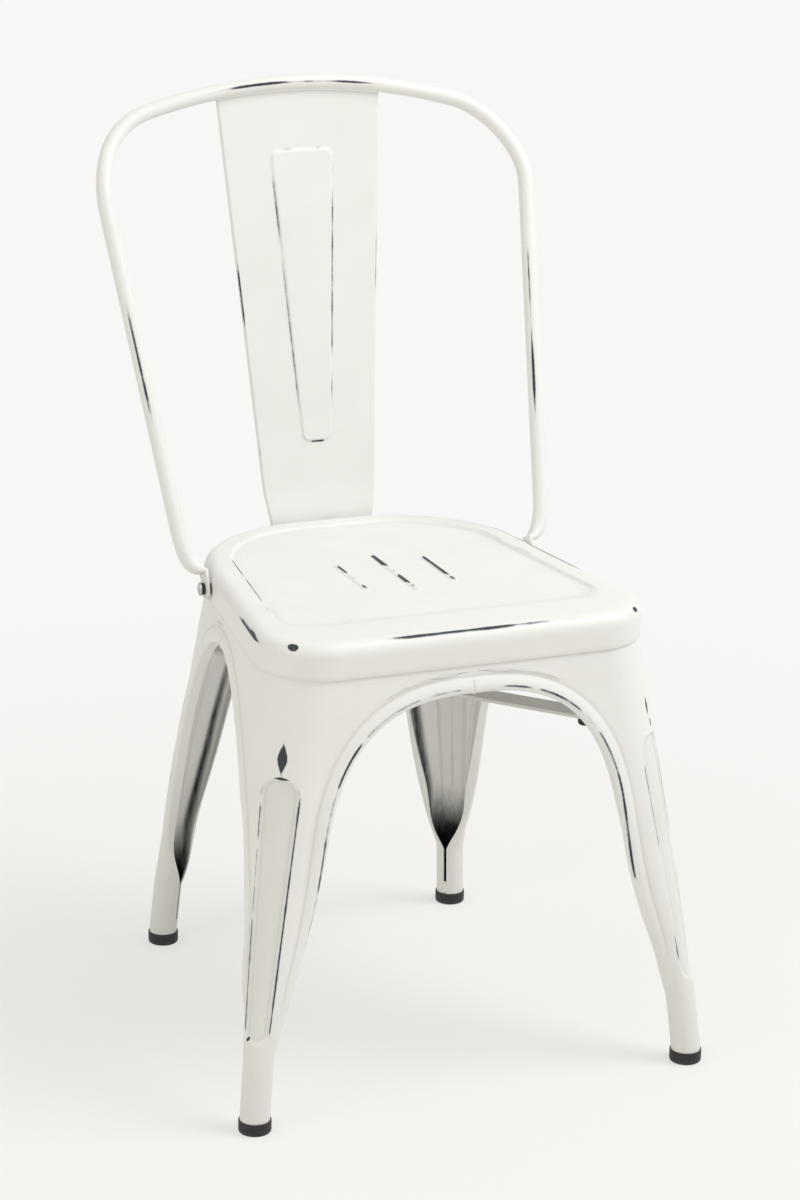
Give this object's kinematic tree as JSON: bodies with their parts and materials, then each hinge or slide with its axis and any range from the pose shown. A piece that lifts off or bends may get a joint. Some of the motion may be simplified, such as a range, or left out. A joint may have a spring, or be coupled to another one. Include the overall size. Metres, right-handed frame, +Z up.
{
  "type": "side chair",
  "caption": "Stacking metal side chair with a pressed seat, flared channelled legs under arches, a leaning tube hoop back and a wide splat; white paint worn through at the edges.",
  "frame": {"origin": "middle of the bounding box at floor level", "axes": "+Z up, -Y the way a person sitting faces, +X to the right as seen from the front"},
  "size_m": [0.46, 0.508, 0.8629],
  "materials": {
    "worn_paint": "satin white paint sanded through to a near-black base coat along ridges and edges",
    "rubber": "matt",
    "zinc": "dull zinc plate"
  },
  "bodies": {
    "root": {"seat_pan": "worn_paint", "leg_front_left": "worn_paint", "leg_front_right": "worn_paint", "leg_rear_left": "worn_paint", "leg_rear_right": "worn_paint", "back_hoop": "worn_paint", "back_splat": "worn_paint", "cross_brace_lower": "worn_paint", "cross_brace_upper": "worn_paint", "brace_rivet": "zinc", "foot_cap_front_left": "rubber", "bumper_front_left": "rubber", "foot_cap_front_right": "rubber", "bumper_front_right": "rubber", "foot_cap_rear_left": "rubber", "bumper_rear_left": "rubber", "foot_cap_rear_right": "rubber", "bumper_rear_right": "rubber", "hoop_bolt_left": "zinc", "hoop_washer_left": "zinc", "hoop_nut_left": "zinc", "hoop_spacer_left": "rubber", "hoop_cushion_left": "rubber", "splat_bolt_left": "zinc", "splat_nut_left": "zinc", "hoop_bolt_right": "zinc", "hoop_washer_right": "zinc", "hoop_nut_right": "zinc", "hoop_spacer_right": "rubber", "hoop_cushion_right": "rubber", "splat_bolt_right": "zinc", "splat_nut_right": "zinc"}
  },
  "joints": []
}
